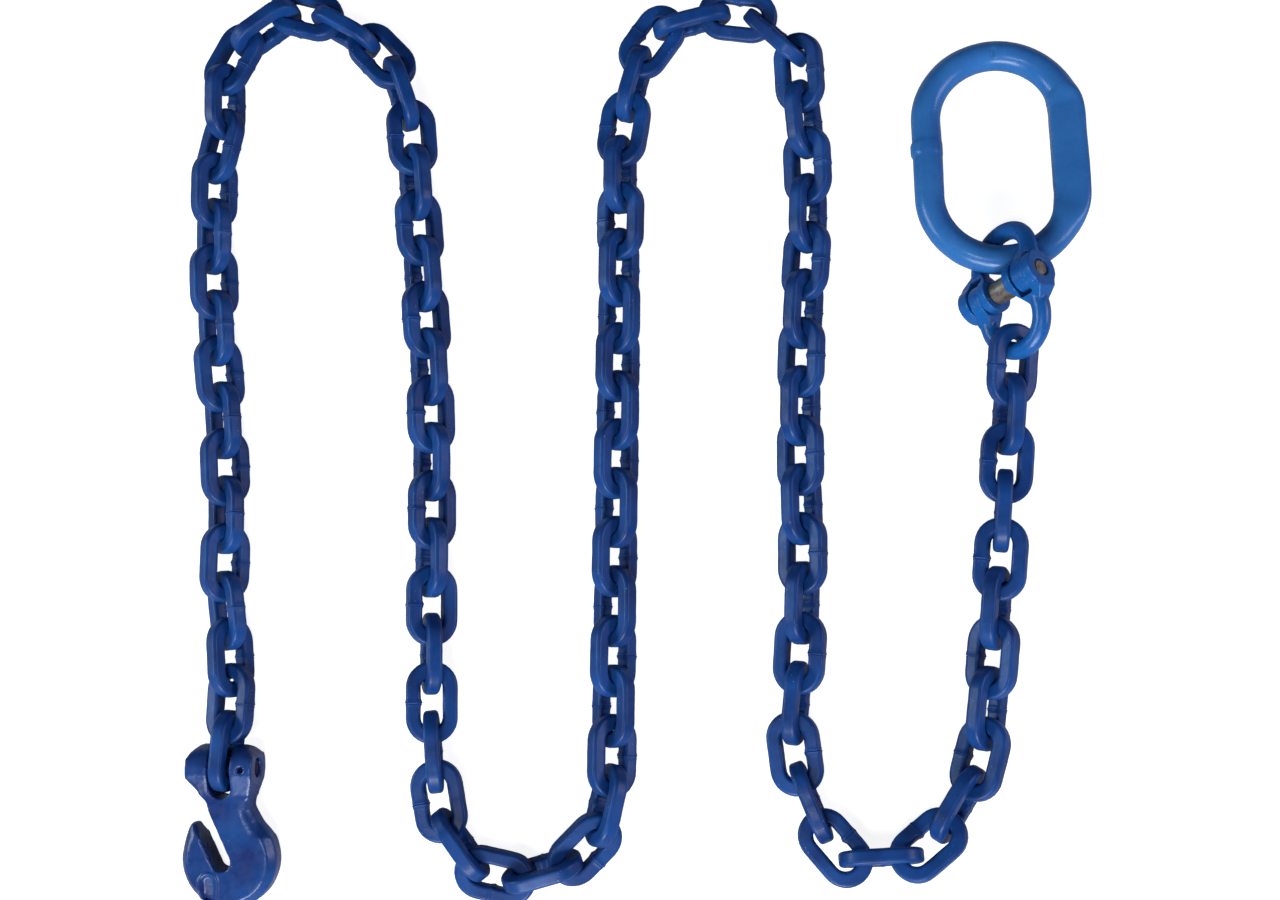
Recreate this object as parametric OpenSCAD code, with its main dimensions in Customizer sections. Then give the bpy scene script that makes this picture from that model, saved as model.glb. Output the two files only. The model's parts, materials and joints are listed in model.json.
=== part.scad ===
// A single-leg lifting chain: a grab hook, eighty-nine welded links, a two-part
// coupling link and an oblong master link, laid out in five runs on a floor.
// X goes right, Y goes away along the runs and Z goes up. The origin is the
// middle of the footprint, on the floor. All lengths are in millimetres.

/* [Chain] */
// Number of links between the hook and the coupling link
link_count = 89; // [85:2:93]
// Thickness of the square bar that a link is bent from
bar = 8; // [7:0.1:8.5]
// Flat cut off each corner of the bar
bar_chamfer = 2.3; // [1.8:0.1:2.4]
// Clear length inside a link, which is the pitch of the chain
pitch = 26; // [25:0.5:30]
// Clear width inside a link
link_inner_w = 10.6; // [10:0.1:12]
// Play left where two links hang in each other
link_play = 0.45; // [0.3:0.05:0.6]
// Length of the weld on one leg of a link
weld_l = 3; // [2:0.5:4]
// Height of the weld over the bar
weld_rise = 0.3; // [0.1:0.1:0.5]

/* [Master link] */
// Diameter of the round bar of the master link
master_bar = 15; // [13:0.5:16]
// Clear width inside the master link
master_inner_w = 56; // [50:1:70]
// Clear length inside the master link
master_inner_l = 96; // [86:1:120]
// Thickness of the leg that is pressed flat
flat_t = 12; // [10:0.5:13]
// Width of the leg that is pressed flat
flat_w = 18; // [16:0.5:20]
// Length of the pressed flat
flat_l = 60; // [40:1:70]
// Length of the weld bulge on the other leg
master_weld_l = 9; // [6:1:14]

/* [Coupling link] */
// Diameter of the round bar at the ends of the coupling link
coupling_bar = 9.2; // [9:0.1:10]
// Clear width inside each end of the coupling link
coupling_inner_w = 24.6; // [22:0.2:28]
// From the pin to the inside of each end
coupling_reach = 27.6; // [25:0.2:32]
// Radius of the lugs around the pin
lug_r = 9.4; // [9:0.1:10.5]
// Space between the inner lugs, which the sleeve fills
lug_space = 12; // [10:0.5:14]
// Thickness of the inner lug of a fork
inner_lug_t = 5; // [4:0.5:6]
// Thickness of the tongue that goes into a fork
tongue_t = 7; // [6:0.5:8]
// Thickness of the outer lug of a fork
outer_lug_t = 6; // [5:0.5:7]
// Gap between a tongue and each lug of its fork
fork_gap = 0.3; // [0.2:0.05:0.6]
// Diameter of the load pin of the coupling link
coupling_pin_d = 9; // [8:0.5:10]
// Outer diameter of the sleeve that keeps the pin in
sleeve_d = 12; // [11:0.5:13]

/* [Hook] */
// Diameter of the load pin of the hook
hook_pin_d = 9.5; // [9:0.1:9.8]
// Clear width of the clevis
clevis_w = 11.6; // [11:0.2:13]
// Width of the hook over both ears
ears_w = 35; // [32:1:40]
// Radius of the ears around the pin
ear_r = 11.5; // [11:0.5:12]
// Radius of the round belly of the hook
belly_r = 25; // [24:0.5:28]
// From the pin down to the middle of the belly
belly_drop = 46; // [44:1:52]
// From the middle of the pin sideways to the middle of the belly
belly_side = 4; // [2:0.5:6]
// Thickness of the hook at its belly
belly_t = 16; // [15:0.5:19]
// Width of the slot that holds a link of the chain
slot_w = 9.6; // [9:0.1:11]
// Diameter of the small pin that holds the load pin
retaining_pin_d = 3; // [2.5:0.5:4]

/* [Fits] */
// Clearance on the radius between a pin and its bore
pin_fit = 0.06; // [0.03:0.01:0.1]
// Clearance left between parts that lie against each other
seat = 0.3; // [0.2:0.05:0.5]

/* [Hidden] */
$fn = 48;
BLUE = [0.137, 0.239, 0.455];
FITTING_BLUE = [0.157, 0.325, 0.561];
MASTER_BLUE = [0.184, 0.384, 0.627];
STEEL = [0.588, 0.549, 0.529];

// The heading of the chain at some of its links, as [link, degrees from +X]
heading_at = [
    [1, 87], [2, 89], [3, 96], [4, 100], [5, 91], [9, 98], [13, 90], [14, 77], [15, 91], [16, 62],
    [17, 35], [18, -15], [19, -30], [20, -46], [21, -70], [22, -84], [26, -84], [29, -88],
    [34, -88], [35, -84], [36, -79], [37, -52], [38, -11], [39, 17], [40, 46], [41, 78], [42, 90],
    [54, 90], [55, 82], [56, 75], [57, 54], [58, 14], [59, -9], [60, -43], [61, -86], [62, -84],
    [65, -94], [70, -88], [74, -95], [75, -82], [76, -67], [77, -48], [78, 5], [79, 41], [80, 59],
    [81, 75], [82, 84], [89, 87]
];
// How far the links are rolled about the chain, as [link, degrees]. An odd
// link has this roll and an even link stands a quarter turn back from it.
roll_at = [
    [1, 84], [2, 72], [3, 60], [4, 50], [12, 50], [17, 82], [19, 82], [24, 44], [30, 44], [34, 74],
    [38, 100], [43, 138], [51, 140], [59, 193], [62, 212], [70, 218], [76, 183], [82, 142],
    [83, 145], [89, 208]
];
// The links that move by themselves. All the others move two by two, which
// keeps the number of moving groups down.
lone_links = [1, 2, 3, 16, 17, 18, 35, 36, 37, 38, 57, 58, 59, 76, 77];

// A link: the middle line of its bar, and the space between two crowns
link_r = (link_inner_w + bar) / 2;
link_half = (pitch + bar) / 2;
bar_flat = bar / 2 - bar_chamfer;
bar_corner = norm([bar / 2, bar_flat]);
crown_dip = link_inner_w / 2 - sqrt(pow(link_inner_w / 2, 2) - pow(bar_flat, 2));
crown_gap = bar + 2 * crown_dip + link_play;
// Links that are twisted against each other hang less close
twist_play = 0.008;

// The pose of a part is [place, heading, pitch, roll]: its own X axis points
// along the chain, its Y axis to the left and its Z axis up.
function along(h, p) = [cos(h) * cos(p), sin(h) * cos(p), sin(p)];
function leftward(h, p, r) = [
    -sin(r) * sin(p) * cos(h) - cos(r) * sin(h),
    -sin(r) * sin(p) * sin(h) + cos(r) * cos(h),
    sin(r) * cos(p)];
function unit(v) = v / norm(v);

// Height of the middle of a pair of links that rests on the floor
function section_reach(r) = max(
    bar / 2 * abs(cos(r)) + bar_flat * abs(sin(r)),
    bar_flat * abs(cos(r)) + bar / 2 * abs(sin(r)));
function rest_height(r) = link_r * max(abs(sin(r)), abs(cos(r))) + section_reach(r);

// The coupling link leans on its left side, and its lowest lug or round end is on the floor
coupling_heading = 105.5;
coupling_pitch = -7;
coupling_roll = -48.5;
coupling_fold = 19;
coupling_w = lug_space + 2 * (inner_lug_t + tongue_t + outer_lug_t + 2 * fork_gap);
coupling_r = (coupling_inner_w + coupling_bar) / 2;
coupling_tip = coupling_reach + coupling_bar / 2;
coupling_along = along(coupling_heading, coupling_pitch);
coupling_left = leftward(coupling_heading, coupling_pitch, coupling_roll);
coupling_out = cross(coupling_along, coupling_left);
upper_along = cos(coupling_fold) * coupling_along - sin(coupling_fold) * coupling_out;
upper_depth = coupling_bar / 2 + coupling_r * norm([upper_along[2], coupling_left[2]])
    - (coupling_tip - coupling_r) * upper_along[2];
lug_depth = coupling_w / 2 * abs(coupling_left[2]) + lug_r * norm([coupling_along[2], coupling_out[2]]);
coupling_pin_z = seat + max(upper_depth, lug_depth);
// From the tip of the lower half to the bar of the last link, which hangs in
// it a little to the left and a little low
eye_turn = 31;
eye_drop = 0.5;
eye_inward = cos(eye_turn) * coupling_along - sin(eye_turn) * coupling_left;
eye_gap = coupling_bar / 2 + bar_corner + 2 * link_play;
eye_hold = coupling_r * (coupling_along - eye_inward) + eye_gap * eye_inward - eye_drop * coupling_out;
coupling_eye_z = coupling_pin_z - coupling_tip * coupling_along[2] + eye_hold[2];
last_rise = 5;

function heading(i) = lookup(i, heading_at);
function roll(i) = lookup(i, roll_at) - (i % 2 == 0 ? 90 : 0);

// Heights of the places where two links hang in each other, counted from the hook
function lifted(i, floor_height) = max(floor_height, coupling_eye_z - last_rise * (link_count - i));
function pair_height(i) = rest_height(lookup(i + 0.5, roll_at));
function slope(i) =
    asin((lifted(i, pair_height(i)) - lifted(i - 1, pair_height(i - 1))) / (2 * link_half));

// Two links hang in each other squarely to both: the line between their bars
// there is square to both of the bars
function square_to(a, b, ahead) = unit(cross(a, b) * (cross(a, b) * ahead < 0 ? -1 : 1));
function sloped_left(i) = leftward(heading(i), slope(i), roll(i));
function hang(i) = square_to(sloped_left(i), sloped_left(i + 1), along(heading(i), slope(i)));
function gap(i) = crown_gap + twist_play * pow(lookup(i + 1, roll_at) - lookup(i, roll_at), 2);
function hang_rise(i) = i == 0 || i == link_count ? 0 : gap(i) / 2 * hang(i)[2];
function joint_height(i) = lifted(i, pair_height(i) + abs(hang_rise(i)) + seat);

// How far a link climbs, from the heights of its two ends
function climb(i) = asin(
    (joint_height(i) + hang_rise(i) - joint_height(i - 1) + hang_rise(i - 1)) / (2 * link_half));
function link_along(i) = along(heading(i), climb(i));
function link_left(i) = leftward(heading(i), climb(i), roll(i));

// The middles of the links, from the load pin of the hook
hook_hold = link_half - bar / 2 - hook_pin_d / 2 - link_play / 2;
first_middle = [0, 0, joint_height(0)] + hook_hold * link_along(1);
function next_middle(place, i) =
    place + link_half * (link_along(i) + link_along(i + 1)) - gap(i) * hang(i);
middles = [
    for (i = 1, place = first_middle; i <= link_count; place = next_middle(place, i), i = i + 1)
        place];

// The coupling link hangs in the last link, and the master link in the coupling
link_end = middles[link_count - 1] + link_half * link_along(link_count);
coupling_pin = link_end - eye_hold + coupling_tip * coupling_along;
upper_tip = coupling_pin + coupling_tip * upper_along;

// The master link lies with its far end on the floor
master_r = (master_inner_w + master_bar) / 2;
master_half = (master_inner_l + master_bar) / 2;
master_heading = 92;
master_slack = 2.6;
master_drop = 1;
master_gap = (coupling_bar + master_bar) / 2 + seat + master_slack;
master_hold = upper_tip - master_gap * upper_along - master_drop * cross(upper_along, coupling_left);
master_pitch = -asin((master_hold[2] - master_bar / 2) / (2 * master_half));
master_along = along(master_heading, master_pitch);
master_middle = master_hold + master_half * master_along;

// The hook lies on its side, and its belly is a little lower than its ears
hook_t = belly_t;
bevel = belly_t / 4;
hook_heading = 90;
hook_pitch = asin((joint_height(0) - hook_t / 2) / (belly_drop + belly_r - bevel));
hook_place = [0, 0, joint_height(0)];
belly_place = hook_place - belly_drop * along(hook_heading, hook_pitch)
    - belly_side * leftward(hook_heading, hook_pitch, 0);

// The footprint, from how far each piece reaches along X and along Y
function link_reach(i, k) = (link_half - link_r) * abs(link_along(i)[k])
    + link_r * norm([link_along(i)[k], link_left(i)[k]]) + bar / 2;
function low_side(k) = min(concat(
    [for (i = [1 : link_count]) middles[i - 1][k] - link_reach(i, k)],
    [belly_place[k] - belly_r]));
function high_side(k) = max(concat(
    [for (i = [1 : link_count]) middles[i - 1][k] + link_reach(i, k)],
    [master_middle[k] + [master_r + flat_w / 2, master_half + master_bar / 2][k]]));
footprint_middle = [
    (low_side(0) + high_side(0)) / 2,
    (low_side(1) + high_side(1)) / 2,
    0];

// The links in each moving group, and the names of the groups
function is_lone(i) = len(search(i, lone_links)) > 0;
group_starts = [
    for (i = 1; i <= link_count; i = i + (is_lone(i) || is_lone(i + 1) || i == link_count ? 1 : 2))
        i];
groups = [
    for (k = [0 : len(group_starts) - 1])
        [for (i = group_starts[k]; i < (k + 1 < len(group_starts) ? group_starts[k + 1] : link_count + 1); i = i + 1) i]];
function two_digits(i) = str(i < 10 ? "0" : "", i);
function group_name(g) = len(g) == 1
    ? str("link_", two_digits(g[0]))
    : str("links_", two_digits(g[0]), "_", two_digits(g[1]));
group_names = [for (g = groups) group_name(g)];

module pose(place, heading, pitch, roll) {
    translate(place - footprint_middle)
        rotate([roll, -pitch, heading])
            children();
}

// Section of the chain's bar, a square with its corners cut
module bar_section(size) {
    half = size / 2;
    flat = half - bar_chamfer;
    polygon([
        [half, flat], [flat, half], [-flat, half], [-half, flat],
        [-half, -flat], [-flat, -half], [flat, -half], [half, -flat]]);
}

// Half a ring at each end and a straight leg on each side
module oblong(half_l, r) {
    straight = half_l - r;
    for (end = [-1, 1])
        translate([end * straight, 0, 0])
            rotate([0, 0, -90 * end])
                rotate_extrude(angle = 180)
                    translate([r, 0])
                        children();
    for (side = [-1, 1])
        translate([0, side * r, 0])
            rotate([0, 90, 0])
                linear_extrude(2 * straight, center = true)
                    children();
}

module chain_link() {
    oblong(link_half, link_r)
        bar_section(bar);
    translate([0, link_r, 0])
        rotate([0, 90, 0])
            linear_extrude(weld_l, center = true)
                bar_section(bar + 2 * weld_rise);
}

module link_group(g) {
    color(BLUE)
        for (i = g)
            pose(middles[i - 1], heading(i), climb(i), roll(i))
                chain_link();
}

// The master link, with one leg pressed flat and a weld on the other
module master_link() {
    far_side = master_r + flat_w;
    color(MASTER_BLUE)
        pose(master_middle, master_heading, master_pitch, 0) {
            difference() {
                oblong(master_half, master_r)
                    circle(d = master_bar);
                for (side = [-1, 1])
                    translate([-flat_l / 2, -far_side, side > 0 ? flat_t / 2 : -flat_t / 2 - master_bar])
                        cube([flat_l, far_side, master_bar]);
            }
            intersection() {
                oblong(master_half, master_r)
                    circle(d = flat_w);
                translate([-flat_l / 2, -far_side, -flat_t / 2])
                    cube([flat_l, far_side, flat_t]);
            }
            translate([0, master_r, 0])
                rotate([0, 90, 0])
                    weld_bulge(master_weld_l, master_bar / 2);
        }
}

// A low barrel around a bar, where it is welded
module weld_bulge(l, r) {
    rise = 0.1 * r;
    rotate_extrude()
        polygon([[0, -l / 2], [r, -l / 2], [r + rise, -l / 4], [r + rise, l / 4], [r, l / 2], [0, l / 2]]);
}

// One half of the coupling link: a fork on the left, a tongue on the right and
// a round end. The pin runs along Y through the origin.
tongue_in = lug_space / 2 + inner_lug_t + fork_gap;
tongue_out = tongue_in + tongue_t;
crown_x = coupling_tip - coupling_r;
lug_bore = coupling_pin_d / 2 + pin_fit;

module lug_side() {
    neck = 0.7 * coupling_bar / 2;
    circle(r = lug_r);
    polygon([[0, lug_r], [crown_x, neck], [crown_x, -neck], [0, -lug_r]]);
}

module lug_block(plan) {
    intersection() {
        translate([0, coupling_w / 2 + 1, 0])
            rotate([90, 0, 0])
                linear_extrude(coupling_w + 2)
                    lug_side();
        linear_extrude(2 * lug_r + 2, center = true)
            polygon(plan);
    }
}

module coupling_half() {
    back = lug_r + 1;
    root = lug_r + fork_gap;
    leg_in = coupling_r - 0.7 * coupling_bar / 2;
    leg_out = coupling_r + 0.7 * coupling_bar / 2;
    difference() {
        union() {
            translate([crown_x, 0, 0])
                rotate([0, 0, -90])
                    rotate_extrude(angle = 180)
                        translate([coupling_r, 0])
                            circle(d = coupling_bar);
            for (side = [-1, 1])
                translate([root, side * coupling_r, 0])
                    rotate([0, 90, 0])
                        cylinder(d = coupling_bar, h = crown_x - root);
            lug_block([
                [-back, lug_space / 2 + seat / 2], [lug_r / 2, lug_space / 2 + seat / 2], [crown_x, leg_in],
                [crown_x, leg_out], [root, coupling_w / 2], [-back, coupling_w / 2]]);
            lug_block([
                [-back, -tongue_in], [root, -tongue_in], [crown_x, -leg_in], [crown_x, -leg_out],
                [root, -leg_out], [root, -tongue_out], [-back, -tongue_out]]);
        }
        translate([0, tongue_out + fork_gap, 0])
            rotate([90, 0, 0])
                cylinder(r = root, h = tongue_t + 2 * fork_gap);
        translate([0, coupling_w, 0])
            rotate([90, 0, 0])
                cylinder(r = lug_bore, h = 2 * coupling_w);
    }
}

module coupling_upper_half() {
    color(FITTING_BLUE)
        pose(coupling_pin, coupling_heading, coupling_pitch, coupling_roll)
            rotate([0, coupling_fold, 0])
                coupling_half();
}

module coupling_lower_half() {
    color(FITTING_BLUE)
        pose(coupling_pin, coupling_heading, coupling_pitch, coupling_roll)
            rotate([0, 0, 180])
                coupling_half();
}

// A pin along Y whose ends are bevelled
module bevelled_pin(d, l) {
    nose = d / 8;
    rotate([90, 0, 0])
        rotate_extrude()
            polygon([
                [0, -l / 2], [d / 2 - nose, -l / 2], [d / 2, -l / 2 + nose],
                [d / 2, l / 2 - nose], [d / 2 - nose, l / 2], [0, l / 2]]);
}

module coupling_load_pin() {
    color(STEEL)
        pose(coupling_pin, coupling_heading, coupling_pitch, coupling_roll)
            bevelled_pin(coupling_pin_d, coupling_w - 2 * seat);
}

module coupling_sleeve() {
    color(STEEL)
        pose(coupling_pin, coupling_heading, coupling_pitch, coupling_roll)
            rotate([90, 0, 0])
                difference() {
                    cylinder(d = sleeve_d, h = lug_space - seat, center = true);
                    cylinder(r = lug_bore, h = lug_space, center = true);
                }
}

// The hook as drawn from above: X to the right, Y towards the chain, and the
// load pin along X through the origin
neck_w = 21.5;
neck_y = -17.5;
facet_y = -0.2 * ear_r;
ear_cut = 4.5;
notch_x = 14.5;
shoulder = [belly_side + 0.66 * belly_r, -belly_drop + 0.73 * belly_r];
slot_lean = 26;
slot_x = belly_side - 3;
slot_y = -belly_drop - 1;
tip_r = 2.8;
slot_l = 28;
tip_side_r = 40;
tip_x = belly_side - belly_r + tip_r + 3;
tip_y = -belly_drop + 15.6;
tip_t = 11;
retaining_x = (clevis_w + ears_w) / 4;

module hook_pose() {
    pose(hook_place, hook_heading, hook_pitch, 0)
        rotate([0, 0, -90])
            children();
}

// What is left of a plan shape when the hook is seen from its side
module hook_side_cut() {
    rotate([90, 0, 90])
        linear_extrude(4 * belly_r, center = true) {
            circle(r = ear_r);
            polygon([
                [0, ear_r], [facet_y, ear_r], [neck_y + 4, hook_t / 2], [-belly_drop, hook_t / 2],
                [-belly_drop, -hook_t / 2], [neck_y + 4, -hook_t / 2], [facet_y, -ear_r], [0, -ear_r]]);
        }
}

// The two ears with their outer corners cut, and the neck down to the belly
module hook_shank() {
    ear_y = -0.5 * ear_r;
    intersection() {
        hook_side_cut();
        linear_extrude(3 * ear_r, center = true)
            polygon([
                [-ears_w / 2, ear_y], [notch_x - neck_w, neck_y], [slot_x, slot_y],
                [belly_side + belly_r / 2, -belly_drop], shoulder, [notch_x, neck_y],
                [ears_w / 2, ear_y], [ears_w / 2, ear_r - ear_cut], [ears_w / 2 - ear_cut, ear_r],
                [ear_cut - ears_w / 2, ear_r], [-ears_w / 2, ear_r - ear_cut]]);
    }
}

// What is cut off both edges of the side from the notch to the belly
module shoulder_bevel() {
    run = [notch_x, neck_y] - shoulder;
    cut = bevel + seat;
    for (side = [0, 1])
        mirror([0, 0, side])
            translate([shoulder[0], shoulder[1], hook_t / 2])
                rotate([0, 0, atan2(run[1], run[0])])
                    rotate([90, 0, 90])
                        translate([0, 0, -bevel])
                            linear_extrude(norm(run) + bevel - 1)
                                polygon([[-1, 1], [-1, -cut - 1], [cut, 0], [cut, 1]]);
}

// A flat round plate with both edges bevelled
module bevelled_disc(r) {
    rotate_extrude()
        polygon([
            [0, -hook_t / 2], [r - bevel, -hook_t / 2], [r, -hook_t / 2 + bevel],
            [r, hook_t / 2 - bevel], [r - bevel, hook_t / 2], [0, hook_t / 2]]);
}

module hook_tip() {
    intersection() {
        rotate([90, 0, 90])
            linear_extrude(4 * belly_r, center = true)
                polygon([
                    [tip_y + tip_r, tip_t / 2], [-belly_drop, hook_t / 2], [-belly_drop - tip_r, hook_t / 2],
                    [-belly_drop - tip_r, -hook_t / 2], [-belly_drop, -hook_t / 2], [tip_y + tip_r, -tip_t / 2]]);
        linear_extrude(hook_t, center = true)
            union() {
                translate([tip_x, tip_y])
                    circle(r = tip_r);
                polygon([
                    [tip_x - 3 * tip_r, tip_y], [tip_x + tip_r, tip_y], [slot_x, slot_y],
                    [tip_x - 3 * tip_r, -belly_drop - tip_r]]);
            }
        translate([belly_side - belly_r + tip_side_r + seat, -belly_drop, 0])
            bevelled_disc(tip_side_r);
    }
}

module hook_body() {
    color(BLUE)
        hook_pose()
            difference() {
                union() {
                    hook_shank();
                    hook_tip();
                    translate([belly_side, -belly_drop, 0])
                        bevelled_disc(belly_r);
                }
                shoulder_bevel();
                translate([-clevis_w / 2, clevis_w / 2 - 1.3 * ear_r, -ear_r - 1])
                    cube([clevis_w, 3 * ear_r, 2 * ear_r + 2]);
                translate([0, clevis_w / 2 - 1.3 * ear_r, 0])
                    cylinder(d = clevis_w, h = 2 * ear_r + 2, center = true);
                translate([slot_x, slot_y, 0])
                    cylinder(d = slot_w, h = 2 * ear_r, center = true);
                translate([slot_x, slot_y, -ear_r])
                    rotate([0, 0, slot_lean])
                        translate([-slot_w / 2, 0, 0])
                            cube([slot_w, slot_l, 2 * ear_r]);
                rotate([0, 90, 0])
                    cylinder(r = hook_pin_d / 2 + pin_fit, h = 2 * ears_w, center = true);
                translate([retaining_x, 0, 0])
                    cylinder(r = retaining_pin_d / 2 + pin_fit, h = 3 * ear_r, center = true);
            }
}

module hook_load_pin() {
    color(STEEL)
        hook_pose()
            difference() {
                rotate([0, 0, 90])
                    bevelled_pin(hook_pin_d, ears_w - 2);
                translate([retaining_x, 0, 0])
                    cylinder(r = retaining_pin_d / 2 + pin_fit, h = 2 * hook_pin_d, center = true);
            }
}

module hook_retaining_pin() {
    color(STEEL)
        hook_pose()
            translate([retaining_x, 0, 0])
                cylinder(d = retaining_pin_d, h = 2 * ear_r - 4, center = true);
}

master_link();
coupling_upper_half();
coupling_lower_half();
coupling_load_pin();  // coupling_pin
coupling_sleeve();
hook_body();
hook_load_pin();  // hook_pin
hook_retaining_pin();
for (g = groups)
    link_group(g);
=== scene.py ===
# The looks of a single-leg lifting chain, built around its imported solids. It is
# seen from nearly straight above, lying in five runs on a white floor.
# Shapes are worked out in millimetres and turned into metres with MM.
import json
import math

import bmesh
import bpy
import numpy as np
from mathutils import Matrix, Vector, noise


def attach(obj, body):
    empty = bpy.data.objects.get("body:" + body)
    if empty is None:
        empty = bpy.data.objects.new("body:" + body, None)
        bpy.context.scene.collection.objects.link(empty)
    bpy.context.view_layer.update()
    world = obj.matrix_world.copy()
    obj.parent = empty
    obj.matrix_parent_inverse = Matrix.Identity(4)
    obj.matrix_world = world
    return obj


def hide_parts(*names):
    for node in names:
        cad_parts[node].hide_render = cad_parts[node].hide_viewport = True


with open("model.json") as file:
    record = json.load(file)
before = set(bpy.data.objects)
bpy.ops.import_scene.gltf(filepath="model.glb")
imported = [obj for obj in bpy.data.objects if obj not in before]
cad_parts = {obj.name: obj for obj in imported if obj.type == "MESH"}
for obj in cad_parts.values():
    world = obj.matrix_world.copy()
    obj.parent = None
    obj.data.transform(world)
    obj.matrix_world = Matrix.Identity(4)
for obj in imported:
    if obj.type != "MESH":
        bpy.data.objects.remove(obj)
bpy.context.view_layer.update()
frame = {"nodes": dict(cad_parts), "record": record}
nodes = frame["nodes"]
MM = 0.001
SAME_POINT = 1e-6


def body_of(node):
    """The body that a node of the frame belongs to."""
    for body, members in frame["record"]["behaviour"]["bodies"].items():
        if node in members:
            return body
    raise KeyError(node)


def joint_named(name):
    """The record's entry for a joint."""
    for joint in frame["record"]["behaviour"]["joints"]:
        if joint["name"] == name:
            return joint
    raise KeyError(name)


# Materials. Colours are sRGB, noise scales are per metre, bump depths in metres.


def linear(rgb):
    """An sRGB colour as Blender's linear values, with alpha 1."""
    return tuple(
        c / 12.92 if c <= 0.04045 else ((c + 0.055) / 1.055) ** 2.4 for c in rgb
    ) + (1.0,)


def new_material(name):
    """A material, its node tree and its shader."""
    mat = bpy.data.materials.new(name)
    mat.use_nodes = True
    tree = mat.node_tree
    return mat, tree, tree.nodes["Principled BSDF"]


def add_noise(tree, coords, scale, detail, roughness=0.5):
    """A noise texture's value."""
    n = tree.nodes.new("ShaderNodeTexNoise")
    n.inputs["Scale"].default_value = scale
    n.inputs["Detail"].default_value = detail
    n.inputs["Roughness"].default_value = roughness
    tree.links.new(coords, n.inputs["Vector"])
    return n.outputs["Fac"]


def add_range(tree, value, low, high, to_low=0.0, to_high=1.0):
    """A value stretched from low and high to two others, and held between them."""
    r = tree.nodes.new("ShaderNodeMapRange")
    r.inputs["From Min"].default_value = low
    r.inputs["From Max"].default_value = high
    r.inputs["To Min"].default_value = to_low
    r.inputs["To Max"].default_value = to_high
    tree.links.new(value, r.inputs["Value"])
    return r.outputs["Result"]


def add_product(tree, value, factor):
    """A value times another, or times a number."""
    m = tree.nodes.new("ShaderNodeMath")
    m.operation = "MULTIPLY"
    tree.links.new(value, m.inputs[0])
    if isinstance(factor, float):
        m.inputs[1].default_value = factor
    else:
        tree.links.new(factor, m.inputs[1])
    return m.outputs[0]


# Where a Mix node set to RGBA has its two colours and its result
MIX_A = 6
MIX_B = 7
MIX_RESULT = 2


def add_mix(tree, share, a, b):
    """A mix of two colours, each a tuple or a node's output."""
    m = tree.nodes.new("ShaderNodeMix")
    m.data_type = "RGBA"
    tree.links.new(share, m.inputs["Factor"])
    for value, key in ((a, MIX_A), (b, MIX_B)):
        if isinstance(value, tuple):
            m.inputs[key].default_value = value
        else:
            tree.links.new(value, m.inputs[key])
    return m.outputs[MIX_RESULT]


def add_bump(tree, height, depth, strength, under=None):
    """A bump's normal, on top of another one's if given."""
    b = tree.nodes.new("ShaderNodeBump")
    b.inputs["Distance"].default_value = depth
    b.inputs["Strength"].default_value = strength
    tree.links.new(height, b.inputs["Height"])
    if under is not None:
        tree.links.new(under, b.inputs["Normal"])
    return b.outputs["Normal"]


COAT_ROUGH = 0.18
PAINT_SMOOTHER, PAINT_ROUGHER = 0.06, 0.10
STEEL_SMOOTHER, STEEL_ROUGHER = 0.1, 0.2
STEEL_METALLIC = 0.85
STAIN = 0.55


def paint(name, base, deep, fleck, rough, coat, shine):
    """Satin enamel over forged or welded steel, thicker in some spots than in others."""
    mat, tree, shader = new_material(name)
    coords = tree.nodes.new("ShaderNodeTexCoord").outputs["Object"]
    clouds = add_range(
        tree, add_noise(tree, coords, scale=45, detail=3), low=0.35, high=0.68)
    colour = add_mix(tree, clouds, linear(base), linear(deep))
    specks = add_range(
        tree, add_noise(tree, coords, scale=1100, detail=1), low=0.74, high=0.78)
    patches = add_range(
        tree, add_noise(tree, coords, scale=120, detail=2), low=0.50, high=0.60)
    flecked = add_product(tree, specks, patches)
    final = add_mix(tree, flecked, colour, linear(fleck))
    tree.links.new(final, shader.inputs["Base Color"])
    gloss = add_range(
        tree, add_noise(tree, coords, scale=240, detail=3), low=0.3, high=0.7,
        to_low=rough - PAINT_SMOOTHER, to_high=rough + PAINT_ROUGHER)
    tree.links.new(gloss, shader.inputs["Roughness"])
    shader.inputs["Coat Weight"].default_value = coat
    shader.inputs["Coat Roughness"].default_value = COAT_ROUGH
    shader.inputs["Specular IOR Level"].default_value = shine
    lumps = add_bump(
        tree, add_noise(tree, coords, scale=130, detail=3), depth=0.0005, strength=0.25)
    grain = add_bump(
        tree, add_noise(tree, coords, scale=900, detail=2), depth=0.00012, strength=0.2,
        under=lumps)
    tree.links.new(grain, shader.inputs["Normal"])
    return mat


def bare_steel(name, colour, rough):
    """Turned steel, a little dull, with fine scratches and stains."""
    mat, tree, shader = new_material(name)
    coords = tree.nodes.new("ShaderNodeTexCoord").outputs["Object"]
    stains = add_range(
        tree, add_noise(tree, coords, scale=260, detail=4, roughness=0.6),
        low=0.35, high=0.7)
    stained = tuple(c * STAIN for c in colour)
    tone = add_mix(tree, stains, linear(colour), linear(stained))
    tree.links.new(tone, shader.inputs["Base Color"])
    shader.inputs["Metallic"].default_value = STEEL_METALLIC
    scratches = add_noise(tree, coords, scale=1800, detail=3)
    gloss = add_range(
        tree, scratches, low=0.0, high=1.0,
        to_low=rough - STEEL_SMOOTHER, to_high=rough + STEEL_ROUGHER)
    tree.links.new(gloss, shader.inputs["Roughness"])
    scored = add_bump(tree, scratches, depth=0.0001, strength=0.4)
    tree.links.new(scored, shader.inputs["Normal"])
    return mat


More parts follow.
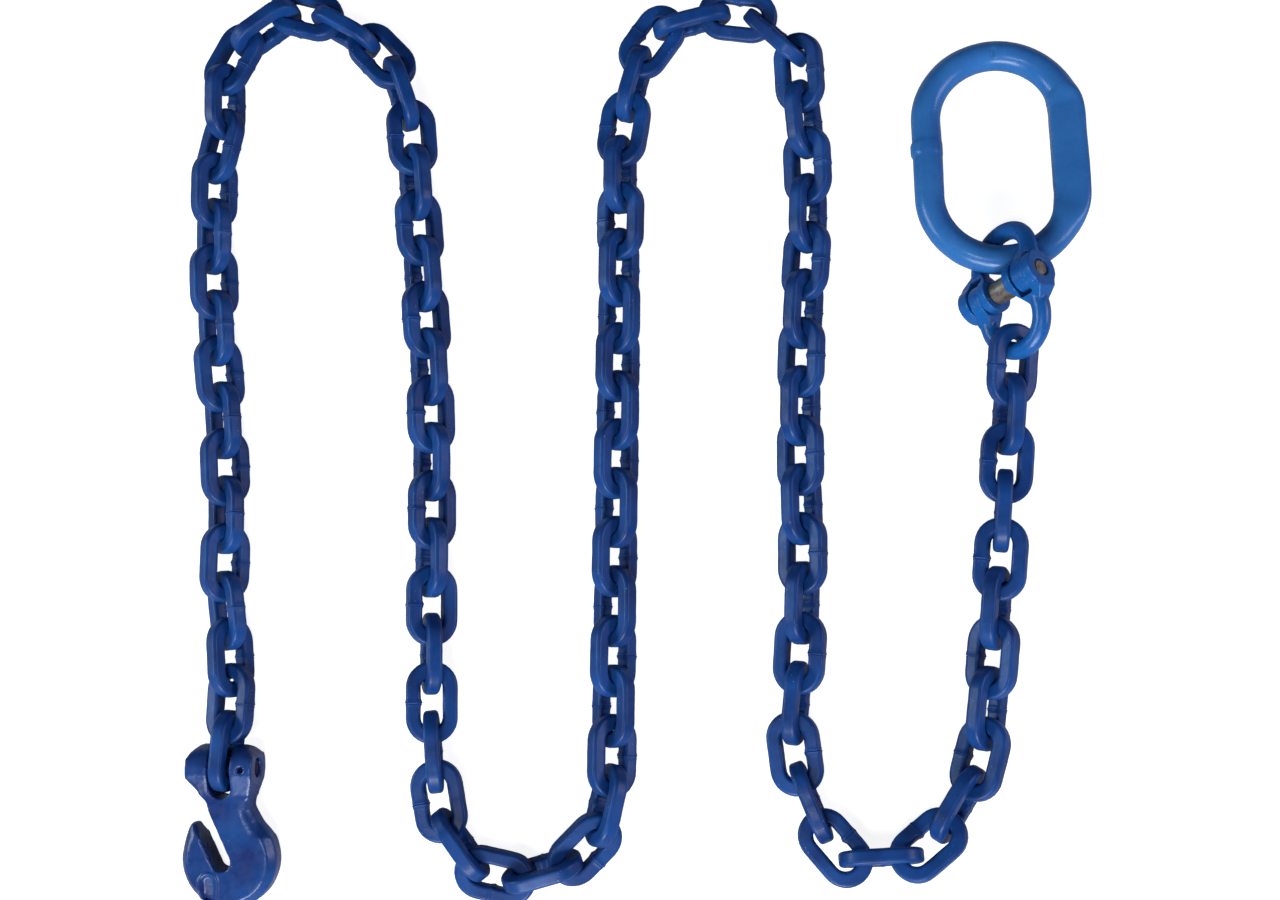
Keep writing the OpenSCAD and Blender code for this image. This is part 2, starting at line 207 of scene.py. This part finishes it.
CHAIN_PAINT = paint(
    "chain_paint", base=(0.078, 0.262, 0.522), deep=(0.042, 0.172, 0.392),
    fleck=(0.42, 0.58, 0.78), rough=0.40, coat=0.06, shine=0.20)
HOOK_PAINT = paint(
    "hook_paint", base=(0.086, 0.255, 0.500), deep=(0.082, 0.165, 0.390),
    fleck=(0.42, 0.55, 0.76), rough=0.30, coat=0.12, shine=0.32)
COUPLING_PAINT = paint(
    "coupling_paint", base=(0.085, 0.350, 0.630), deep=(0.066, 0.310, 0.580),
    fleck=(0.50, 0.68, 0.86), rough=0.30, coat=0.12, shine=0.26)
MASTER_PAINT = paint(
    "master_paint", base=(0.190, 0.425, 0.685), deep=(0.160, 0.380, 0.640),
    fleck=(0.07, 0.15, 0.34), rough=0.25, coat=0.14, shine=0.22)
# Near-black for the hook's pins: painted shade, standing in for the shade inside the recessed
# holes they sit in
PIN_HOLE_SHADE_PAINT = paint(
    "pin_hole_shade_paint", base=(0.040, 0.055, 0.270), deep=(0.030, 0.040, 0.200),
    fleck=(0.20, 0.22, 0.34), rough=0.50, coat=0.0, shine=0.1)
STEEL = bare_steel("bare_steel", (0.62, 0.58, 0.55), rough=0.35)


# Helpers for shapes.


def hump(x, width, power=2):
    """1 at x = 0, falling to nothing about one width away on both sides."""
    return math.exp(-abs(x / width) ** power)


def ease(x, start, end):
    """0 at start, 1 at end, and smooth between them."""
    t = min(1.0, max(0.0, (x - start) / (end - start)))
    return t * t * (3 - 2 * t)


NO_SHIFT = Vector((0, 0, 0))


def uneven(p, waves, shifts=(NO_SHIFT, NO_SHIFT)):
    """Unevenness at a point: two noises, each given as (waves to the millimetre, height)."""
    (broad, broad_height), (fine, fine_height) = waves
    return (broad_height * noise.noise(p * broad + shifts[0])
            + fine_height * noise.noise(p * fine + shifts[1]))


def frame_matrix(along, left, up, origin):
    """The matrix of a frame with these axes as X, Y and Z, and this origin."""
    rows = [(along[i], left[i], up[i], origin[i]) for i in range(3)]
    return Matrix(rows + [(0, 0, 0, 1)])


def oblong_stations(straight, radius, legs, steps):
    """Stations round an oblong's middle line, as (x, y, normal x, normal y)."""
    stations = []
    for side, xs in ((1, legs[::-1]), (-1, legs)):
        stations += [(x, side * radius, 0, side) for x in xs]
        for k in range(1, steps):
            a = math.radians(side * 90 + 180 * k / steps)
            stations.append((
                radius * math.cos(a) - side * straight, radius * math.sin(a),
                math.cos(a), math.sin(a)))
    return stations


def tube_faces(rings, count):
    """Faces of a closed tube of so many rings with so many points each."""
    faces = []
    for i in range(rings):
        j = (i + 1) % rings
        for k in range(count):
            n = (k + 1) % count
            faces.append((i * count + k, i * count + n, j * count + n, j * count + k))
    return faces


def new_piece(name, points, faces, material, smooth=True):
    """An object made from points in millimetres, with its faces turned outwards."""
    mesh = bpy.data.meshes.new(name)
    mesh.from_pydata([Vector(p) * MM for p in points], [], faces)
    mesh.materials.append(material)
    mesh.polygons.foreach_set("use_smooth", [smooth] * len(mesh.polygons))
    mesh.update()
    obj = bpy.data.objects.new(name, mesh)
    bpy.context.scene.collection.objects.link(obj)
    bm = bmesh.new()
    bm.from_mesh(mesh)
    bmesh.ops.recalc_face_normals(bm, faces=bm.faces)
    bm.to_mesh(mesh)
    bm.free()
    return obj


# The chain links: a square bar with rounded edges, bent to an oblong and welded
# across one leg.

BAR = 7.5
CORNER = 1.6
CORNER_POINTS = 4
FLAT_INSET = 0.12  # from a corner to the point that keeps the flat flat, in half bars
LINK_R = 9.3
LINK_HALF = 17.0
BEND_STEPS = 16
CROWN_EXTRA = 0.25  # how much fuller the bar is on the inside of a bend
CROWN_LOSS = 0.25  # how much lower each side is on the outside of a bend

WELD_RISE = 0.3  # how far the solid's weld stands out
WELD_HALF = 1.5
WELD_SWELL = 0.20
SEAM_HALF = 0.35
SEAM_RISE = 0.18
SEAM_LEAN = 0.35  # how far a seam may run askew
GROOVE_AT = 0.45
GROOVE_HALF = 0.22
GROOVE_DEPTH = 0.28
FLASH = 0.42
FLASH_VARIES = 0.4
WELD_STATIONS = [
    -2.2, -1.5, -1.0, -0.65, -0.4, -0.22, -0.1, 0.0,
    0.1, 0.22, 0.4, 0.65, 1.0, 1.5, 2.2]
LINK_LEGS = [-7.7, -5.0, -3.2] + WELD_STATIONS + [3.2, 5.0, 7.7]

LINK_WAVES = ((0.16, 0.09), (0.5, 0.04))
# Each link's number times these picks its own place in the noises
WELD_STRIDE = 3.7
WELD_ROW = 1.3
WAVE_STRIDE = 7.3
DENT_STRIDE = 5.1


def square_section():
    """A square bar's outline with small round corners, as (out, up) for a half width of 1."""
    flat = 1 - CORNER / (BAR / 2)
    inner = flat - FLAT_INSET
    points = []
    for turn, (cx, cy) in enumerate(((1, 1), (-1, 1), (-1, -1), (1, -1))):
        before = (cx, cy * inner) if turn % 2 == 0 else (cx * inner, cy)
        after = (cx * inner, cy) if turn % 2 == 0 else (cx, cy * inner)
        points.append(before)
        for k in range(CORNER_POINTS):
            angle = math.radians(90 * (turn + k / (CORNER_POINTS - 1)))
            points.append((
                cx * flat + (1 - flat) * math.cos(angle),
                cy * flat + (1 - flat) * math.sin(angle)))
        points.append(after)
    return points


def weld_swell(line):
    """How much thicker the bar is at this distance from a weld's seam."""
    return (WELD_SWELL * hump(line, WELD_HALF, power=4)
            + SEAM_RISE * hump(line, SEAM_HALF)
            - GROOVE_DEPTH * hump(line - GROOVE_AT, GROOVE_HALF))


def link_shape(number):
    """One link in its own frame: X along it, Y to its welded leg."""
    section = square_section()
    stations = oblong_stations(LINK_HALF - LINK_R, LINK_R, LINK_LEGS, BEND_STEPS)
    wander = noise.noise(Vector((number * WELD_STRIDE, WELD_ROW, 0)))
    flash = FLASH + FLASH_VARIES * wander
    shifts = (Vector((number * WAVE_STRIDE, 0, 0)), Vector((0, number * DENT_STRIDE, 0)))
    points = []
    for x, y, nx, ny in stations:
        welded = ny == 1
        bent = abs(nx)
        for out, up in section:
            out_size = up_size = BAR / 2
            if welded:
                line = x - SEAM_LEAN * wander * up
                swell = weld_swell(line)
                inward = max(0.0, -out) ** 2
                out_size += swell + flash * inward * hump(line, WELD_HALF, power=3)
                up_size += swell
            if out < 0:
                out_size += CROWN_EXTRA * bent
            up_size -= CROWN_LOSS * bent * max(0.0, out) ** 2
            p = Vector((x + nx * out * out_size, y + ny * out * out_size, up * up_size))
            offset = uneven(p, LINK_WAVES, shifts)
            points.append(p + Vector((nx * out, ny * out, up)) * offset)
    return points, tube_faces(len(stations), len(section))


def loose_parts(obj):
    """The separate solids of a node, as arrays of their points in millimetres.

    They come in the order of the mesh, so a link has the same number in every run.
    """
    bm = bmesh.new()
    bm.from_mesh(obj.data)
    bmesh.ops.remove_doubles(bm, verts=bm.verts, dist=SAME_POINT)
    seen = set()
    parts = []
    for first in bm.verts:
        if first in seen:
            continue
        seen.add(first)
        stack = [first]
        part = []
        while stack:
            v = stack.pop()
            part.append(v.co[:])
            for e in v.link_edges:
                w = e.other_vert(v)
                if w not in seen:
                    seen.add(w)
                    stack.append(w)
        parts.append(np.array(part) / MM)
    bm.free()
    return parts


def link_pose(points):
    """The frame of a link from its solid: X along it, Y to its welded leg."""
    middle = points.mean(0)
    _, axes = np.linalg.eigh(np.cov((points - middle).T))
    along, left = axes[:, 2], axes[:, 1]
    if (points - middle).dot(left).max() < -(points - middle).dot(left).min():
        left = -left
    up = np.cross(along, left)
    centre = np.zeros(3)
    for axis, shift in ((along, 0.0), (left, WELD_RISE / 2), (up, 0.0)):
        spread = points.dot(axis)
        centre += axis * ((spread.max() + spread.min()) / 2 - shift)
    return frame_matrix(along, left, up, centre)


noise.seed_set(7)
for node in sorted(n for n in nodes if n.startswith("link")):
    all_points, all_faces = [], []
    numbers = node.split("_")[1:]
    for number, part in zip(numbers, loose_parts(nodes[node])):
        pose = link_pose(part)
        points, faces = link_shape(int(number))
        start = len(all_points)
        all_points += [pose @ p for p in points]
        all_faces += [tuple(start + k for k in face) for face in faces]
    piece = new_piece("painted_" + node, all_points, all_faces, CHAIN_PAINT)
    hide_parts(node)
    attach(piece, body_of(node))

# The master link: a round bar bent to an oblong, with one leg pressed flat, a
# weld's bulge on the other and a notch at its far end. X is towards that end.

MASTER_BAR = 15.0
MASTER_R = 35.5
MASTER_HALF = 55.5
MASTER_POINTS = 40
MASTER_LEG_STEPS = 50
MASTER_BEND_STEPS = 110
MASTER_WAVES = ((0.05, 0.25), (0.2, 0.07))

FLAT_W = 18.0
FLAT_T = 12.0
# Where the leg begins and ends to be thinner, and wider
THIN_FROM, THIN_TO = (-40, -26), (35, 25)
WIDE_FROM, WIDE_TO = (-44, -24), (56, 14)
ROUND_POWER = 2
FLAT_POWER = 3.5  # added to it where the leg is flat

BULGE_AT = 5.5
BULGE_HALF = 3.6
BULGE_ROUND = 0.25
BULGE_OUTWARD = 0.75
BULGE_UP = 0.2

NOTCH_HALF = 0.9
NOTCH_AT = -1.2  # outwards from the bar's middle line
NOTCH_REACH = 2.4
NOTCH_DEPTH = 1.1
FAR_END = 0.9  # the far end is where the normal points along X by more than this


def notch_share(y, nx, out, up):
    """How deep the notch is at a point of the bar's skin, from 0 to 1."""
    across = hump(y, NOTCH_HALF) * (nx > FAR_END)
    return across * hump(out - NOTCH_AT, NOTCH_REACH, power=4) * (up > 0)


def master_shape():
    """The master link in its own frame."""
    straight = MASTER_HALF - MASTER_R
    step = 2 * straight / MASTER_LEG_STEPS
    legs = [-straight + step * k for k in range(MASTER_LEG_STEPS + 1)]
    stations = oblong_stations(straight, MASTER_R, legs, MASTER_BEND_STEPS)
    points = []
    for x, y, nx, ny in stations:
        flat = wide = 0.0
        if ny < 0:
            flat = min(ease(x, *THIN_FROM), ease(x, *THIN_TO))
            wide = min(ease(x, *WIDE_FROM), ease(x, *WIDE_TO))
        side = MASTER_BAR / 2 + (FLAT_W - MASTER_BAR) / 2 * wide
        half_t = MASTER_BAR / 2 + (FLAT_T - MASTER_BAR) / 2 * flat
        power = ROUND_POWER + FLAT_POWER * flat
        bulge = hump(x - BULGE_AT, BULGE_HALF, power=6) if ny == 1 else 0.0
        for k in range(MASTER_POINTS):
            angle = 2 * math.pi * k / MASTER_POINTS
            c, s = math.cos(angle), math.sin(angle)
            reach = (abs(c) ** power + abs(s) ** power) ** (-1 / power)
            outward = BULGE_ROUND * c + BULGE_OUTWARD * max(0.0, c) ** 2
            out = c * reach * side + bulge * outward
            up = s * reach * half_t + bulge * BULGE_UP * s
            lower = NOTCH_DEPTH * notch_share(y, nx, out, up)
            p = Vector((x + nx * out, y + ny * out, up - lower))
            points.append(p + Vector((nx * c, ny * c, s)) * uneven(p, MASTER_WAVES))
    return points, tube_faces(len(stations), MASTER_POINTS)


def master_pose():
    """The master link's frame: its left axis and near end are the joint's."""
    joint = joint_named("master_turn")
    left = np.array(joint["axis"])
    near = np.array(joint["pos_m"]) / MM
    points = np.array([v.co[:] for v in nodes["master_link"].data.vertices]) / MM
    away = points.mean(0) - near
    up = np.cross(away, left)
    up /= np.linalg.norm(up)
    along = np.cross(left, up)
    return frame_matrix(along, left, up, near + along * MASTER_HALF)


master_points, master_faces = master_shape()
master_frame = master_pose()
master = new_piece(
    "painted_master_link", [master_frame @ p for p in master_points], master_faces,
    MASTER_PAINT)
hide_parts("master_link")
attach(master, body_of("master_link"))

# The forgings: the hook and the two halves of the coupling link, each made from
# its own solid.

FORGED_WAVES = ((0.12, 0.12), (0.45, 0.05))
SMOOTH_FACTOR = 0.5


def smoothed(bm, verts, rounds):
    """Moves points towards their neighbours, so many times over."""
    for _ in range(rounds):
        bmesh.ops.smooth_vert(
            bm, verts=verts, factor=SMOOTH_FACTOR,
            use_axis_x=True, use_axis_y=True, use_axis_z=True)


def forged(node, material, voxel, rounds, soft=(), shape=None, cutter=None):
    """A forging made from its solid: remeshed evenly, its edges rounded off, then shaped.

    soft lists regions that are smoothed more, each as (region, rounds).
    shape moves a point, and cutter is an object that is cut away first.
    """
    obj = bpy.data.objects.new("forged_" + node, nodes[node].data.copy())
    bpy.context.scene.collection.objects.link(obj)
    bm = bmesh.new()
    bm.from_mesh(obj.data)
    bmesh.ops.remove_doubles(bm, verts=bm.verts, dist=SAME_POINT)
    bm.to_mesh(obj.data)
    bm.free()
    if cutter is not None:
        cut = obj.modifiers.new("cut", "BOOLEAN")
        cut.operation = "DIFFERENCE"
        cut.object = cutter
    remesh = obj.modifiers.new("remesh", "REMESH")
    remesh.mode = "VOXEL"
    remesh.voxel_size = voxel * MM
    bpy.context.view_layer.update()
    graph = bpy.context.evaluated_depsgraph_get()
    mesh = bpy.data.meshes.new_from_object(obj.evaluated_get(graph))
    obj.modifiers.clear()
    if cutter is not None:
        bpy.data.objects.remove(cutter)
    bm = bmesh.new()
    bm.from_mesh(mesh)
    smoothed(bm, bm.verts, rounds)
    for region, extra in soft:
        smoothed(bm, [v for v in bm.verts if region(v.co / MM)], extra)
    for v in bm.verts:
        v.co += v.normal * uneven(v.co / MM, FORGED_WAVES) * MM
        if shape is not None:
            v.co = shape(v.co / MM, v.normal) * MM
    bm.to_mesh(mesh)
    bm.free()
    obj.data = mesh
    mesh.materials.clear()
    mesh.materials.append(material)
    mesh.polygons.foreach_set("use_smooth", [True] * len(mesh.polygons))
    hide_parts(node)
    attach(obj, body_of(node))


# The hook, measured from its load pin: x to the side, y along it towards the chain
HOOK_LIE = math.radians(4.9)
SCOOP = Vector((-5.5, -53.3))
SCOOP_R = 4.0
SCOOP_DEPTH = 0.9
SCOOP_SLOPE = 0.22  # it gets deeper away from its round end
SCOOP_EDGE = (-0.1, 1.4)
RIM_RISE = 0.6
RIM_AT = -0.6
RIM_HALF = 0.7
UPPER_FACE = 0.3  # a normal that points up by less is off the upper face

SHOULDER_X = 8
SHOULDER_LOW, SHOULDER_HIGH = -34, -15
SHOULDER_CREASE_Y = -17
SHOULDER_CREASE_SLOPE = 0.45
EAR_X = 11
LEFT_EAR_Y = 5.2
RIGHT_EAR_Y = 6.5
SHOULDER_ROUNDS = 45
EAR_ROUNDS = 40


def hook_place(p):
    """Where a point is from the hook's load pin: to the side, and along the hook."""
    away = p - Vector(joint_named("hook_turn")["pos_m"]) / MM
    return away.x, away.y * math.cos(HOOK_LIE) + away.z * math.sin(HOOK_LIE)


def hook_shoulder(p):
    """Whether a point is on the soft shoulder, to the right below the ears."""
    x, y = hook_place(p)
    crease = SHOULDER_CREASE_SLOPE * (SHOULDER_CREASE_Y - y)
    return x > SHOULDER_X and SHOULDER_LOW < y < SHOULDER_HIGH and x - SHOULDER_X > crease


def hook_ears(p):
    """Whether a point is on the outer corners of the ears."""
    x, y = hook_place(p)
    return (x < -EAR_X and abs(y) > LEFT_EAR_Y) or (x > EAR_X and y > RIGHT_EAR_Y)


def hook_shape(p, normal):
    """Presses a round-ended scoop with a raised rim into the upper face, low on the belly."""
    x, y = hook_place(p)
    if normal.z < UPPER_FACE:
        return p
    inside = SCOOP_R - math.hypot(x - SCOOP.x, max(0.0, y - SCOOP.y + SCOOP_R))
    full = SCOOP_DEPTH + SCOOP_SLOPE * max(0.0, SCOOP.y - y)
    depth = ease(inside, *SCOOP_EDGE) * full
    rim = RIM_RISE * hump(inside - RIM_AT, RIM_HALF)
    return p + Vector((0, 0, rim - depth))


forged(
    "hook_body", HOOK_PAINT, voxel=0.6, rounds=5,
    soft=[(hook_shoulder, SHOULDER_ROUNDS), (hook_ears, EAR_ROUNDS)], shape=hook_shape)

# The coupling's halves, measured from the load pin: each has a fork with two
# lugs to one side of its middle and a single tongue to the other side
LUG_R = 9.4
SLOT_FROM = 11.0
SLOT_TO = 18.6
SLOT_END = 10.4
SLOT_TALL = 12
BY_THE_PIN = 5  # points nearer the pin than this belong to the lugs
ROUND_END_DEPTH = 2  # and points this close to the farthest to the round end
TONGUE_TRIM = 1.0
TRIM_EDGE = 2.5  # how far in from the rim the trim begins
TRIM_FADE = (7, 1)  # along X, from none of it to all
TONGUE_SPARE = 0.4
CUTTER_FACES = [
    (0, 1, 3, 2), (4, 6, 7, 5), (0, 4, 5, 1), (2, 3, 7, 6), (0, 2, 6, 4), (1, 5, 7, 3)]


def half_frame(node):
    """A coupling half's frame at its pin: X towards its round end, Y towards its fork."""
    joint = joint_named("coupling_fold")
    pin = Vector(joint["pos_m"]) / MM
    axis = Vector(joint["axis"])
    points = [v.co / MM - pin for v in nodes[node].data.vertices]
    reach = [(p - axis * p.dot(axis)).length for p in points]
    round_end = max(reach) - ROUND_END_DEPTH
    middle = sum((p for p, r in zip(points, reach) if r > round_end), Vector())
    along = (middle - axis * middle.dot(axis)).normalized()
    lugs = [p.dot(axis) for p in points if p.dot(along) < BY_THE_PIN]
    left = axis if max(lugs) > -min(lugs) else -axis
    return frame_matrix(along, left, along.cross(left), pin)


def slot_cutter(half):
    """A box that squares off the end of a fork's slot."""
    corners = [
        half @ Vector((x, y, z))
        for x in (0, SLOT_END) for y in (SLOT_FROM, SLOT_TO) for z in (-SLOT_TALL, SLOT_TALL)]
    return new_piece("slot_cutter", corners, CUTTER_FACES, COUPLING_PAINT, smooth=False)


def tongue_shape(half):
    """Makes a tongue's round end smaller than the lugs on either side of it."""
    inverse = half.inverted()

    def shape(p, normal):
        x, y, z = inverse @ p
        r = math.hypot(x, z)
        in_tongue = SLOT_FROM - TONGUE_SPARE < -y < SLOT_TO + TONGUE_SPARE
        share = ease(x, *TRIM_FADE) * ease(r, LUG_R - TRIM_EDGE, LUG_R) * in_tongue
        pull = TONGUE_TRIM * share / max(r, 1)
        return half @ Vector((x - x * pull, y, z - z * pull))
    return shape


for node in ("coupling_upper_half", "coupling_lower_half"):
    half = half_frame(node)
    forged(
        node, COUPLING_PAINT, voxel=0.4, rounds=4,
        shape=tongue_shape(half), cutter=slot_cutter(half))

# The pins and the sleeve are their own solids.

PIN_MATERIALS = {
    "coupling_pin": STEEL,
    "coupling_sleeve": STEEL,
    # the hook's pins get the painted shade of their recessed holes
    "hook_pin": PIN_HOLE_SHADE_PAINT,
    "hook_retaining_pin": PIN_HOLE_SHADE_PAINT,
}
for node, material in PIN_MATERIALS.items():
    nodes[node].data.materials.clear()
    nodes[node].data.materials.append(material)

# The floor.

FLOOR = 6.0
FLOOR_DROP = 0.0008
FLOOR_GREY = 0.5
FLOOR_ROUGH = 0.9
# The floor glows for the camera's own rays only, so it looks white and keeps soft
# shadows, and throws no light on the chain
FLOOR_GLOW = 0.88


def floor_material():
    """Matt grey with a glow that only the camera sees, which makes it white."""
    mat, tree, shader = new_material("white_floor")
    shader.inputs["Base Color"].default_value = (FLOOR_GREY, FLOOR_GREY, FLOOR_GREY, 1)
    shader.inputs["Roughness"].default_value = FLOOR_ROUGH
    shader.inputs["Specular IOR Level"].default_value = 0.0
    shader.inputs["Emission Color"].default_value = (1, 1, 1, 1)
    rays = tree.nodes.new("ShaderNodeLightPath")
    glow = add_product(tree, rays.outputs["Is Camera Ray"], FLOOR_GLOW)
    tree.links.new(glow, shader.inputs["Emission Strength"])
    return mat


floor_mesh = bpy.data.meshes.new("floor")
floor_mesh.from_pydata(
    [(-FLOOR, -FLOOR, 0), (FLOOR, -FLOOR, 0), (FLOOR, FLOOR, 0), (-FLOOR, FLOOR, 0)],
    [], [(0, 1, 2, 3)])
floor_mesh.materials.append(floor_material())
floor = bpy.data.objects.new("floor", floor_mesh)
bpy.context.scene.collection.objects.link(floor)
floor.location.z = -FLOOR_DROP

# The lights, as (name, place, size, power, colour). All of them face the middle.

LIGHTS = (
    ("front", (-0.1, -1.6, 0.95), (1.2, 0.6), 38, (1, 1, 1)),
    ("left", (-1.6, 0.0, 0.8), (1.0, 0.6), 17, (0.80, 0.95, 1)),
    ("right", (1.6, 0.1, 0.7), (1.0, 0.6), 12, (0.85, 0.80, 1)),
    ("window", (-0.12, -0.45, 1.5), (0.35, 0.10), 4, (1, 1, 1)),
)
SKY_COLOUR = (0.80, 0.85, 1, 1)
SKY_STRENGTH = 0.05

for name, place, size, power, colour in LIGHTS:
    light = bpy.data.lights.new(name, "AREA")
    light.shape = "RECTANGLE"
    light.size, light.size_y = size
    light.energy = power
    light.color = colour
    lamp = bpy.data.objects.new(name, light)
    bpy.context.scene.collection.objects.link(lamp)
    lamp.location = place
    lamp.rotation_euler = (Vector() - Vector(place)).to_track_quat("-Z", "Y").to_euler()

world = bpy.data.worlds.new("studio")
bpy.context.scene.world = world
world.use_nodes = True
world.node_tree.nodes["Background"].inputs["Color"].default_value = SKY_COLOUR
world.node_tree.nodes["Background"].inputs["Strength"].default_value = SKY_STRENGTH

# The camera: how far it leans from straight above, how far away it is, and the
# point on the floor under the middle of the picture.

PICTURE_W = 1280
FOCAL_PX = 1600
PX_PER_MM = 1.931
SENSOR_W = 36
CLIP_END = 50
LEAN_X = 0.1105
LEAN_Y = -0.1253
AIM = Vector((7.1, -7.3, 0)) * MM

# The floor's axes as the camera sees them, and from them the camera's own axes
floor_x = Vector((1, 0, LEAN_X)).normalized()
floor_z = Vector((-LEAN_X, -LEAN_Y, 1)).normalized()
floor_y = floor_z.cross(floor_x)
right, up, towards = (
    Vector((floor_x[i], floor_y[i], floor_z[i])) for i in range(3))
distance = FOCAL_PX / PX_PER_MM * MM

camera_data = bpy.data.cameras.new("camera")
camera_data.sensor_width = SENSOR_W
camera_data.lens = FOCAL_PX / PICTURE_W * camera_data.sensor_width
camera_data.clip_end = CLIP_END
camera = bpy.data.objects.new("camera", camera_data)
bpy.context.scene.collection.objects.link(camera)
camera.matrix_world = frame_matrix(
    right, up, towards, [AIM[i] + towards[i] * distance for i in range(3)])
bpy.context.scene.camera = camera
bpy.context.scene.view_settings.view_transform = "Standard"
